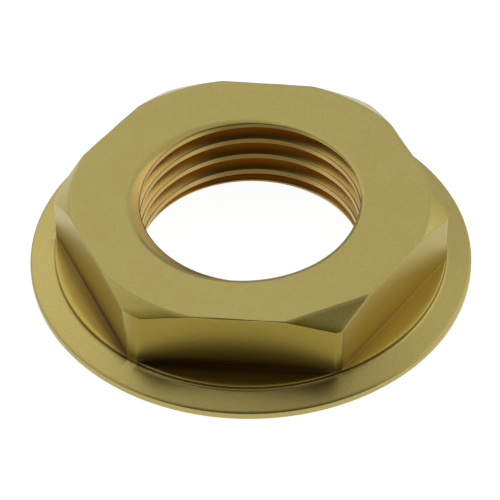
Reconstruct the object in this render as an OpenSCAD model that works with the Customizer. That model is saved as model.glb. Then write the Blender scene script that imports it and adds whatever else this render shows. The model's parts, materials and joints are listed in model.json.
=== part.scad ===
// Brass spud nut: a flat hexagon nut turned in one piece with a wide round
// flange, threaded right through. It lies on the flange's flat face, with the
// hexagon upwards. The origin is the centre of that face and +Z is the axis.

/* [Flange] */
// Outer diameter of the flange
flange_d = 38; // [36:0.5:42]
// Height of the upright rim at the flange's edge
rim_h = 0.7; // [0.5:0.05:1]
// Height at which the sloping top of the flange meets the collar
slope_h = 1.2; // [1.1:0.05:1.5]
// Break on the two edges of the rim
rim_break = 0.12; // [0.05:0.01:0.2]

/* [Collar] */
// Diameter of the turned collar that the flats are cut into
collar_d = 33.7; // [33:0.1:33.9]
// Height at which the flats stop and leave six level steps
step_h = 1.7; // [1.6:0.05:2.2]

/* [Hexagon] */
// Distance across the flats
across_flats = 29.6; // [29.3:0.1:30]
// Whole height of the nut
nut_h = 7.25; // [6:0.05:9]
// Diameter of the round top face inside the corner chamfers
top_d = 30.4; // [30.2:0.1:31.5]
// Slope of the corner chamfers below the level
chamfer_angle = 30; // [20:1:45]

/* [Threaded hole] */
// Diameter over the crests of the internal thread
minor_d = 18.631; // [18.3:0.001:19]
// Diameter of the countersink in the flange's flat face
lead_in_d = 19.56; // [19:0.01:21]
// Depth of that countersink
lead_in_h = 0.9; // [0.4:0.1:1]
// Diameter of the countersink in the top face
mouth_d = 19.5; // [19:0.1:21]
// Slope of that countersink below the level
mouth_angle = 30; // [20:1:45]

/* [Hidden] */
brass = [0.71, 0.64, 0.36];
flange_r = flange_d / 2;
collar_r = collar_d / 2;
top_r = top_d / 2;
minor_r = minor_d / 2;
mouth_r = mouth_d / 2;
corner_r = across_flats / 2 / cos(30);
// Fall of the chamfer from the round top face out to the collar's radius
chamfer_fall = (collar_r - top_r) * tan(chamfer_angle);
// How far cutters run past the faces they cut
over = 1;
$fn = 96;

// Turned outline of the blank, from the axis outwards
module blank_outline() {
    polygon([
        [0, 0],
        [flange_r - rim_break, 0],
        [flange_r, rim_break],
        [flange_r, rim_h - rim_break],
        [flange_r - rim_break, rim_h],
        [collar_r, slope_h],
        [collar_r, nut_h - chamfer_fall],
        [top_r, nut_h],
        [0, nut_h]
    ]);
}

// The blank as it leaves the lathe: flange, sloping top, collar and chamfer
module blank() {
    rotate_extrude() blank_outline();
}

// What the six flats are cut from: all that stands above the level steps
module flat_cutter() {
    difference() {
        translate([0, 0, step_h])
            cylinder(r = flange_r + over, h = nut_h);
        translate([0, 0, step_h - over])
            cylinder(r = corner_r, h = nut_h + 2 * over, $fn = 6);
    }
}

// The hole through the thread's crests, with a countersink at either end
module threaded_hole() {
    translate([0, 0, -over])
        cylinder(d = minor_d, h = nut_h + 2 * over);
    lead_in_slope = (lead_in_d / 2 - minor_r) / lead_in_h;
    translate([0, 0, -over])
        cylinder(r1 = minor_r + lead_in_slope * (lead_in_h + over),
                 r2 = minor_r, h = lead_in_h + over);
    mouth_h = (mouth_r - minor_r) * tan(mouth_angle);
    translate([0, 0, nut_h - mouth_h])
        cylinder(r1 = minor_r, r2 = mouth_r + over / tan(mouth_angle),
                 h = mouth_h + over);
}

module spud_nut() {
    color(brass)
        difference() {
            blank();
            flat_cutter();
            threaded_hole();
        }
}

spud_nut();
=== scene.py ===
"""Looks of a brass spud nut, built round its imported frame.

The whole nut is one closed mesh. Its outline is worked out for a ring of
columns round the axis, so the turned parts are round, the six flats are flat,
and the thread is a true helix. Sizes are in millimetres and become metres at
the end, and angles are in degrees, anticlockwise from +X seen from above.
"""

import json
import math

import bmesh
import bpy
import numpy as np
from mathutils import Matrix, Vector, noise


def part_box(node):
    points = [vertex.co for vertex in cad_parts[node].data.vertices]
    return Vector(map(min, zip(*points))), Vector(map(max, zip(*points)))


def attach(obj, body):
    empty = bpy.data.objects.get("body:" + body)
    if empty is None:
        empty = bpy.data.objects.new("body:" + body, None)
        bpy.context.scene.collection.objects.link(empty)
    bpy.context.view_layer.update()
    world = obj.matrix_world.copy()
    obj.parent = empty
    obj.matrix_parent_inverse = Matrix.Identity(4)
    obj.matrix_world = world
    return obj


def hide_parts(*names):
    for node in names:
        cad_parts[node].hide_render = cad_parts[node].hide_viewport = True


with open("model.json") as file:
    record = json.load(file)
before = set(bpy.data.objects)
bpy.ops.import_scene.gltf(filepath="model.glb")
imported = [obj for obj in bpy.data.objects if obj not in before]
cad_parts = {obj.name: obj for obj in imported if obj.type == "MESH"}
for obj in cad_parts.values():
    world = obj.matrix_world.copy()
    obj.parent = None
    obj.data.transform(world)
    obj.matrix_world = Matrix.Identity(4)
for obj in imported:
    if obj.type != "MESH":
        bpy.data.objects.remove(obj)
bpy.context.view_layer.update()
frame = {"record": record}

MM = 0.001

# Main sizes, which come from the frame
box_low, box_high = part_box("spud_nut")
FLANGE_R = box_high.x / MM
NUT_H = box_high.z / MM
MOUNTS = {m["name"]: m for m in frame["record"]["mounts"]}
CREST_R = MOUNTS["thread"]["dims"]["r_mm"] + 0.07

# Flange and collar
RIM_H = 0.7
COLLAR_R = 16.85
COLLAR_FOOT_Z = 1.2
STEP_Z = 1.7

# Hexagon: each flat's distance from the axis and how far it is turned from true
FLAT_DISTANCE = 14.8
FLAT_FACING = (-90, -30, 30, 90, 150, 210)
FLAT_OFFSET = (-0.1, 0.04, 0.08, -0.07, 0.03, 0.02)
FLAT_TURN = (0.9, 0.6, -1.1, -0.2, 0.0, -0.1)

# Corners, anticlockwise from +X: radius at the top of the corner, radius of the
# round top face beside it, slope of the chamfer, and whether the chamfer is a
# flat facet and not part of a cone
CORNER_FACING = (0, 60, 120, 180, 240, 300)
CORNER_R = (16.8, 16.75, 16.75, 16.8, 16.6, 16.88)
CORNER_TOP_R = (15.3, 15.2, 15.2, 15.3, 15.0, 14.75)
CORNER_SLOPE = (30, 38, 38, 50, 19, 24)
CORNER_FACET = (0, 0, 0, 0, 0, 1)

# Break on the top edges of the flats, and painted shade in the angle at their foot, on one side
# only (facing and spread in degrees)
EDGE_BREAK = 0.06
FOOT_SHADE_REACH = 0.7
FOOT_SHADE_FACING = (-120, 75)

# Thread: it falls as it goes anticlockwise, and a root meets the top face at
# THREAD_TURN. The mouth is a shallow countersink, a little off the axis.
PITCH = 1.814
ROOT_R = CREST_R + 1.07
CREST_W = 0.58
ROOT_W = 0.18
THREAD_TURN = 226
MOUTH_R = 9.75
MOUTH_SHIFT = 0.38
MOUTH_FACING = 166
MOUTH_SLOPE = 14
LEAD_R = 9.78
LEAD_H = 0.9
RUN_OUT_H = 0.55

# Columns round the axis
COLUMNS = 540
CORNER_CROWD = 2.2
CORNER_SPREAD = 2.5


def wrap(angle):
    """The angle brought to between -180 and 180 degrees."""
    return (np.asarray(angle) + 180) % 360 - 180


def soft_min(a, b, width):
    """The smaller of a and b, rounded where they cross."""
    h = np.clip(width - np.abs(a - b), 0, None) / width
    return np.minimum(a, b) - h * h * width / 4


def column_angles():
    """Angles of the columns, closer together at the six corners."""
    fine = np.linspace(0, 360, 7201)
    crowd = np.ones_like(fine)
    for facing in CORNER_FACING:
        crowd += CORNER_CROWD * np.exp(-((wrap(fine - facing) / CORNER_SPREAD) ** 2))
    total = np.concatenate([[0], np.cumsum((crowd[1:] + crowd[:-1]) / 2)])
    return np.interp(np.arange(COLUMNS) * total[-1] / COLUMNS, total, fine)


ANGLES = column_angles()


def flat_radius(angles):
    """Distance from the axis to the nearest flat, along each angle."""
    nearest = np.full(len(angles), 99.0)
    for facing, offset, turn in zip(FLAT_FACING, FLAT_OFFSET, FLAT_TURN):
        lean = np.cos(np.radians(wrap(angles - facing - turn)))
        reach = (FLAT_DISTANCE + offset) / np.maximum(lean, 0.3)
        nearest = np.where(lean > 0.3, np.minimum(nearest, reach), nearest)
    return nearest


def corner_value(angles, values):
    """The value that belongs to the corner nearest to each angle."""
    nearest = np.round(np.asarray(angles) / 60).astype(int) % 6
    return np.asarray(values, float)[nearest]


def wall_radius(angles, z):
    """Radius of the hexagon's side at height z: flats, cut off at the corners."""
    share = np.clip((z - STEP_Z) / (NUT_H - STEP_Z), 0, 1)
    corner = COLLAR_R + (corner_value(angles, CORNER_R) - COLLAR_R) * share
    return soft_min(flat_radius(angles), corner, 0.05)


def top_radius(angles):
    """Radius of the top face, where the corner chamfers begin."""
    radius = corner_value(angles, CORNER_TOP_R)
    from_corner = np.radians(wrap(angles - np.round(np.asarray(angles) / 60) * 60))
    return np.where(corner_value(angles, CORNER_FACET) > 0, radius / np.cos(from_corner), radius)


def rounded(points, cuts, between):
    """A polyline with its inner corners rounded, for all columns at once.

    points is a list of (radius, height) pairs of arrays, cuts how far each
    inner corner is cut back, and between how many points go on each straight.
    """
    path = np.stack([np.stack([p[0] + 0 * ANGLES, p[1] + 0 * ANGLES]) for p in points])
    rows = [path[0]]
    leave = path[0]
    for i in range(1, len(path) - 1):
        back, on = path[i - 1] - path[i], path[i + 1] - path[i]
        back_len, on_len = np.hypot(*back), np.hypot(*on)
        cut = np.minimum(cuts[i - 1], 0.45 * np.minimum(back_len, on_len))
        start = path[i] + back * cut / np.maximum(back_len, 1e-9)
        end = path[i] + on * cut / np.maximum(on_len, 1e-9)
        rows += [leave + (start - leave) * s for s in np.linspace(0, 1, between[i - 1] + 2)[1:-1]]
        for s in (0, 0.33, 0.67, 1):
            rows.append((1 - s) ** 2 * start + 2 * s * (1 - s) * path[i] + s * s * end)
        leave = end
    rows += [leave + (path[-1] - leave) * s for s in np.linspace(0, 1, between[-1] + 2)[1:]]
    return rows


def thread_outline():
    """One pitch of the thread: height as a share of the pitch, and radius.

    It starts at the middle of a root and ends just before the next one.
    """
    half_crest, half_root = CREST_W / 2, ROOT_W / 2
    flank = PITCH / 2 - half_crest - half_root
    round_z, round_r = 0.13 * flank, 0.13 * (ROOT_R - CREST_R)
    rise = [
        (0, ROOT_R),
        (half_root, ROOT_R - 0.02),
        (half_root + round_z, ROOT_R - round_r),
        (half_root + flank / 2, (ROOT_R + CREST_R) / 2),
        (half_root + flank - round_z, CREST_R + round_r),
        (half_root + flank, CREST_R + 0.02),
        (half_root + flank + 0.08, CREST_R),
    ]
    fall = [(PITCH - z, r) for z, r in rise[:0:-1]]
    return np.array([(z / PITCH, r) for z, r in rise + fall])


THREAD = thread_outline()


def thread_radius(angle, z):
    """Radius of the threaded hole at an angle and a height."""
    share = (z / PITCH + (angle - THREAD_TURN) / 360 - NUT_H / PITCH) % 1
    thread = np.interp(share, THREAD[:, 0], THREAD[:, 1], period=1)
    thread = CREST_R + (thread - CREST_R) * np.clip(z / RUN_OUT_H, 0, 1)
    mouth = MOUTH_R + MOUTH_SHIFT * np.cos(np.radians(angle - MOUTH_FACING))
    mouth = mouth - (NUT_H - z) / math.tan(math.radians(MOUTH_SLOPE))
    lead = LEAD_R - (LEAD_R - CREST_R) * z / LEAD_H
    return np.maximum(thread, np.maximum(mouth, lead))


def outer_rows():
    """Rings from the hole's lower edge out, up and in to its upper edge."""
    foot = wall_radius(ANGLES, STEP_Z)
    slope = np.tan(np.radians(corner_value(ANGLES, CORNER_SLOPE)))
    top = top_radius(ANGLES)
    side_top = NUT_H
    for _ in range(3):
        side = wall_radius(ANGLES, side_top)
        side_top = NUT_H - np.clip(side - top, 0, None) * slope
    break_size = EDGE_BREAK * (1 + 0.5 * ripple(ANGLES, 40, 1))
    side_top = np.minimum(side_top, NUT_H - break_size)
    top = np.minimum(top, side - break_size)
    points = [
        (thread_radius(ANGLES, 0 * ANGLES), 0),
        (FLANGE_R, 0),
        (FLANGE_R, RIM_H),
        (COLLAR_R, COLLAR_FOOT_Z),
        (COLLAR_R, STEP_Z),
        (np.minimum(foot, COLLAR_R), STEP_Z),
        (side, side_top),
        (top, NUT_H),
        (thread_radius(ANGLES, NUT_H), NUT_H),
    ]
    cuts = (0.14, 0.14, 0.12, 0.1, 0.025, 0.04, 0.04)
    between = (8, 1, 10, 1, 3, 12, 3, 14)
    return rounded(points, cuts, between)


def ripple(angles, waves, seed):
    """A smooth random wave round the axis, between -1 and 1."""
    turn = np.radians(angles)
    radius = waves / 6.283
    return np.array([
        noise.noise(Vector((radius * math.cos(t), radius * math.sin(t), 17.0 * seed))) for t in turn
    ]) * 1.6


def paint_foot_shade(r, z):
    """How much shade is painted on the outside at each point, thickest in the angle at the foot of
    the flats, on one side only.
    """
    foot = flat_radius(ANGLES)
    away = np.hypot(r - foot, z - STEP_Z)
    facing, spread = FOOT_SHADE_FACING
    side = np.exp(-((wrap(ANGLES - facing) / spread) ** 2))
    return np.exp(-((away / FOOT_SHADE_REACH) ** 2)) * side * (foot < COLLAR_R)


def hole_grid():
    """Heights of the rows down the hole: level rows, then helical, then level.

    Returns (level rows above, helical rows, level rows below) as arrays of
    height, with a row for each ring and a column for each angle. The helical
    rows have one column more, and K rows more than one turn takes.
    """
    mouth_z = NUT_H - 0.36
    lead_z = LEAD_H + 0.02
    upper = np.linspace(NUT_H, mouth_z, 10)[1:, None] + 0 * ANGLES
    lower = np.linspace(lead_z, 0, 24)[:-1, None] + 0 * ANGLES
    shares = THREAD[::-1, 0]
    turns = np.arange(1, -6, -1)
    heights = np.concatenate([t + shares for t in turns]) * PITCH + NUT_H
    angles = np.append(ANGLES, 360)
    fall = (angles - THREAD_TURN) / 360 * PITCH
    helical = np.clip(heights[:, None] - fall, lead_z, mouth_z)
    return upper, helical, lower, len(shares)


def build_mesh():
    """The nut's closed mesh, in metres."""
    upper, helical, lower, per_turn = hole_grid()
    rings = [(r, z) for r, z in outer_rows()]
    rings += [(thread_radius(ANGLES, z), z) for z in upper]
    start = len(rings)
    rings += [(thread_radius(ANGLES, z[:-1]), z[:-1]) for z in helical]
    end = len(rings)
    rings += [(thread_radius(ANGLES, z), z) for z in lower]
    count = len(rings)
    outer_count = len(outer_rows())
    r = np.array([ring[0] for ring in rings])
    z = np.array([ring[1] for ring in rings])
    turn = np.radians(ANGLES)
    points = np.stack([r * np.cos(turn), r * np.sin(turn), z + 0 * r], -1) * MM
    faces = []
    for i in range(count):
        below = (i + 1) % count
        for j in range(COLUMNS):
            if j < COLUMNS - 1:
                corners = ((i, j), (i, j + 1), (below, j + 1), (below, j))
            else:
                def across(row):
                    return min(row + per_turn, end - 1) if start <= row < end else row
                corners = ((i, j), (across(i), 0), (across(below), 0), (below, j))
            faces.append([a * COLUMNS + b for a, b in corners])
    mesh = bpy.data.meshes.new("spud_nut_visual")
    mesh.from_pydata(points.reshape(-1, 3).tolist(), [], faces)
    # Painted shade at the foot of the flats, stored on the points; none in the hole
    foot_shade = paint_foot_shade(r, z + 0 * r)
    foot_shade[outer_count:] = 0
    mesh.attributes.new("foot_shade_amount", "FLOAT", "POINT").data.foreach_set("value", foot_shade.ravel())
    work = bmesh.new()
    work.from_mesh(mesh)
    bmesh.ops.remove_doubles(work, verts=work.verts, dist=1e-7)
    bmesh.ops.dissolve_degenerate(work, edges=work.edges, dist=1e-7)
    bmesh.ops.recalc_face_normals(work, faces=work.faces)
    for face in work.faces:
        face.smooth = True
    open_edges = sum(1 for e in work.edges if len(e.link_faces) != 2)
    print("nut mesh:", len(work.verts), "points,", len(work.faces), "faces, open edges", open_edges)
    work.to_mesh(mesh)
    work.free()
    return mesh


def nodes_of(owner):
    """The node tree of a material or world, empty but for its output."""
    owner.use_nodes = True
    tree = owner.node_tree
    for node in list(tree.nodes):
        if "OUTPUT" not in node.type:
            tree.nodes.remove(node)
    return tree


class Nodes:
    """Short calls that add nodes to one tree. A value may be a socket or plain."""

    def __init__(self, owner):
        self.tree = nodes_of(owner)
        self.out = [n for n in self.tree.nodes if "OUTPUT" in n.type][0].inputs["Surface"]

    def put(self, value, socket):
        if isinstance(value, bpy.types.NodeSocket):
            self.tree.links.new(value, socket)
        else:
            socket.default_value = value

    def node(self, kind, settings=None, **inputs):
        node = self.tree.nodes.new("ShaderNode" + kind)
        for name, value in (settings or {}).items():
            setattr(node, name, value)
        for name, value in inputs.items():
            self.put(value, node.inputs[name.replace("_", " ")])
        return node

    def math(self, operation, a, b=0.0, c=0.0):
        node = self.node("Math", {"operation": operation})
        for value, socket in zip((a, b, c), node.inputs):
            self.put(value, socket)
        return node.outputs[0]

    def vector(self, operation, a, b=(0, 0, 0)):
        node = self.node("VectorMath", {"operation": operation})
        self.put(a, node.inputs[0])
        self.put(b, node.inputs[1])
        return node.outputs["Value" if operation in ("DOT_PRODUCT", "LENGTH") else "Vector"]

    def ramp(self, value, low, high, start=0.0, end=1.0):
        node = self.node("MapRange", {"interpolation_type": "SMOOTHSTEP"}, Value=value)
        limits = {"From Min": low, "From Max": high, "To Min": start, "To Max": end}
        for name, number in limits.items():
            self.put(number, node.inputs[name])
        return node.outputs["Result"]

    def noise(self, place, scale, detail=2.0, roughness=0.5, distortion=0.0):
        node = self.node("TexNoise", Vector=place, Scale=scale, Detail=detail, Roughness=roughness,
                         Distortion=distortion)
        return node.outputs["Fac"]

    def mix(self, factor, a, b, blend="MIX"):
        node = self.node("Mix", {"data_type": "RGBA", "blend_type": blend})
        self.put(factor, node.inputs["Factor"])
        self.put(a, [i for i in node.inputs if i.name == "A" and i.type == "RGBA"][0])
        self.put(b, [i for i in node.inputs if i.name == "B" and i.type == "RGBA"][0])
        return [o for o in node.outputs if o.type == "RGBA"][0]


TOP_OLIVE = (0.44, 0.375, 0.125, 1)
TOP_BROWN = (0.445, 0.36, 0.12, 1)
SIDE_YELLOW = (0.43, 0.345, 0.1, 1)
# Painted shade on the flats that face the front
FRONT_PAINTED_SHADE = (0.3, 0.225, 0.042, 1)
STEP_ORANGE = (0.46, 0.34, 0.08, 1)
TURNED_YELLOW = (0.45, 0.365, 0.12, 1)
HOLE_GOLD = (0.5, 0.345, 0.1, 1)
# Painted shade at the back of the hole
HOLE_BACK_PAINTED_SHADE = (0.2, 0.125, 0.03, 1)
# Painted shade deep in the thread, brown at the roots
ROOT_PAINTED_SHADE = (0.4, 0.22, 0.045, 1)
# Painted shade in the angle at the foot of the flats
FOOT_SHADE_COLOUR = (0.16, 0.1, 0.04, 1)


def brass():
    """Machined brass: olive top and yellow sides, with shade painted on the front flats, at the
    foot of the flats, at the back of the hole and down into the thread roots, which turn brown.
    """
    material = bpy.data.materials.new("brass")
    n = Nodes(material)
    place = n.vector("MULTIPLY", n.node("TexCoord").outputs["Object"], (1000, 1000, 1000))
    split = n.node("SeparateXYZ", Vector=place)
    height = split.outputs["Z"]
    radius = n.vector("LENGTH", n.vector("MULTIPLY", place, (1, 1, 0)))
    on_top = n.ramp(height, 7.1, 7.22)
    in_hole = n.math("MULTIPLY", n.ramp(radius, 11.5, 11.0), n.ramp(height, 7.2, 7.0))
    turned = n.math("MULTIPLY", n.ramp(radius, 16.8, 16.9), n.ramp(height, 1.4, 1.3))

    blotch = n.ramp(n.noise(place, 0.35, 3.0, 0.6, 0.6), 0.38, 0.62)
    grain = n.noise(place, 5.0, 3.0, 0.6)
    top = n.mix(blotch, TOP_OLIVE, TOP_BROWN)
    along = n.node("SeparateXYZ", Vector=place).outputs["Y"]
    # Painted shade: the flats on the front side darker
    front_shade_mask = n.ramp(along, -13.6, -14.6)
    step = n.math("MULTIPLY", n.ramp(height, 1.85, 1.75), n.ramp(height, 1.6, 1.68))
    colour = n.mix(front_shade_mask, SIDE_YELLOW, FRONT_PAINTED_SHADE)
    colour = n.mix(step, colour, STEP_ORANGE)
    colour = n.mix(turned, colour, TURNED_YELLOW)
    # Painted shade: the back of the hole darker than the rest of it
    colour = n.mix(in_hole, colour, n.mix(n.ramp(along, 7.2, 9.1), HOLE_GOLD, HOLE_BACK_PAINTED_SHADE))
    below_mouth = n.math("MULTIPLY", in_hole, n.ramp(height, 6.8, 6.3))
    # Painted shade deeper in the thread, brown at the roots
    deep_root_shade = n.math("MULTIPLY", n.ramp(radius, 9.45, 10.3), below_mouth)
    colour = n.mix(deep_root_shade, colour, ROOT_PAINTED_SHADE)
    colour = n.mix(on_top, colour, top)
    shade = n.ramp(grain, 0.3, 0.7, 0.96, 1.05)
    grey = n.node("CombineXYZ", X=shade, Y=shade, Z=shade).outputs[0]
    colour = n.mix(1.0, colour, grey, "MULTIPLY")
    # Painted shade in the angle at the foot of the flats, read from the mesh
    foot_shade_amount = n.node("Attribute", {"attribute_name": "foot_shade_amount"}).outputs["Fac"]
    colour = n.mix(foot_shade_amount, colour, FOOT_SHADE_COLOUR)

    roughness = n.math("ADD", n.math("MULTIPLY", on_top, 0.12), 0.3)
    bump = n.node("Bump", Strength=0.25, Distance=0.00004, Height=grain)
    shader = n.node("BsdfPrincipled", Roughness=roughness, Normal=bump.outputs[0])
    n.put(colour, shader.inputs["Base Color"])
    shader.inputs["Metallic"].default_value = 1.0
    n.put(shader.outputs[0], n.out)
    return material


nut = bpy.data.objects.new("spud_nut_brass", build_mesh())
bpy.context.scene.collection.objects.link(nut)
nut.data.materials.append(brass())
even = nut.modifiers.new("even_shading", "WEIGHTED_NORMAL")
even.keep_sharp = True
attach(nut, "root")
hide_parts("spud_nut")


# Camera: it looks at the flange's centre, a little raised, from the front
CAMERA_AZIMUTH = 6.33
CAMERA_ELEVATION = 44.03
CAMERA_ROLL = -0.76
CAMERA_DISTANCE = 259.3
CAMERA_FOCAL = 216.0
SENSOR = 36.0
AIM_RIGHT = -0.07
AIM_UP = 0.68


def make_camera():
    """The camera, placed by its azimuth, elevation, roll and distance."""
    data = bpy.data.cameras.new("camera")
    data.sensor_width = SENSOR
    data.lens = CAMERA_FOCAL
    camera = bpy.data.objects.new("camera", data)
    bpy.context.scene.collection.objects.link(camera)
    bpy.context.scene.camera = camera
    azimuth, elevation = math.radians(CAMERA_AZIMUTH), math.radians(CAMERA_ELEVATION)
    back = Vector((
        math.sin(azimuth) * math.cos(elevation),
        -math.cos(azimuth) * math.cos(elevation),
        math.sin(elevation),
    ))
    roll = Matrix.Rotation(math.radians(CAMERA_ROLL), 3, "Z")
    turn = (-back).to_track_quat("-Z", "Y").to_matrix() @ roll
    right, up = turn.col[0], turn.col[1]
    aim = (right * AIM_RIGHT + up * AIM_UP) * MM
    camera.matrix_world = Matrix.Translation(aim + back * CAMERA_DISTANCE * MM) @ turn.to_4x4()
    data.clip_start, data.clip_end = 0.01, 10
    return camera


make_camera()


# The floor glows to the camera and in the metal, and its grey takes the shadow
FLOOR_GLOW = 0.95
FLOOR_GREY = 0.2


def seen_directly(n):
    """1 for what the camera sees, straight or in the metal."""
    path = n.node("LightPath")
    seen = n.math("MAXIMUM", path.outputs["Is Camera Ray"], path.outputs["Is Glossy Ray"])
    return n.math("MAXIMUM", seen, path.outputs["Is Transmission Ray"])


def make_floor():
    """A plain white floor under the nut, which shows a faint shadow."""
    mesh = bpy.data.meshes.new("floor")
    side = 3.0
    corners = [(-side, -side, 0), (side, -side, 0), (side, side, 0), (-side, side, 0)]
    mesh.from_pydata(corners, [], [(0, 1, 2, 3)])
    floor = bpy.data.objects.new("floor", mesh)
    bpy.context.scene.collection.objects.link(floor)
    material = bpy.data.materials.new("floor_white")
    n = Nodes(material)
    diffuse = n.node("BsdfDiffuse", Color=(FLOOR_GREY, FLOOR_GREY, FLOOR_GREY, 1))
    glow = n.node("Emission", Strength=n.math("MULTIPLY", seen_directly(n), FLOOR_GLOW))
    both = n.node("AddShader")
    n.put(diffuse.outputs[0], both.inputs[0])
    n.put(glow.outputs[0], both.inputs[1])
    n.put(both.outputs[0], n.out)
    mesh.materials.append(material)


make_floor()


# Soft lights round the studio: azimuth from the front towards +X, elevation,
# half-width in degrees and strength
STUDIO_LEVEL = 0.12
STUDIO_LIGHTS = (
    (176, 25, 58, 0.62),
    (186, 62, 26, 0.42),
    (112, 34, 38, 1.15),
    (238, 38, 44, 0.8),
    (292, 35, 28, 0.65),
)


def make_world():
    """Soft studio light from all round, behind a white backdrop."""
    world = bpy.data.worlds.new("studio")
    bpy.context.scene.world = world
    n = Nodes(world)
    direction = n.node("TexCoord").outputs["Generated"]
    light = STUDIO_LEVEL
    for azimuth, elevation, width, strength in STUDIO_LIGHTS:
        a, e = math.radians(azimuth), math.radians(elevation)
        towards = (math.sin(a) * math.cos(e), -math.cos(a) * math.cos(e), math.sin(e))
        edge = math.cos(math.radians(width))
        lobe = n.ramp(n.vector("DOT_PRODUCT", direction, towards), edge, 1, 0, strength)
        light = n.math("ADD", light, lobe)
    shown = n.node("LightPath").outputs["Is Camera Ray"]
    studio = n.node("Background", Strength=light)
    backdrop = n.node("Background", Strength=1.0)
    backdrop.inputs["Color"].default_value = (1, 1, 1, 1)
    studio.inputs["Color"].default_value = (1, 1, 1, 1)
    mix = n.node("MixShader")
    n.put(shown, mix.inputs[0])
    n.put(studio.outputs[0], mix.inputs[1])
    n.put(backdrop.outputs[0], mix.inputs[2])
    n.put(mix.outputs[0], n.out)


make_world()
bpy.context.scene.view_settings.view_transform = "Standard"
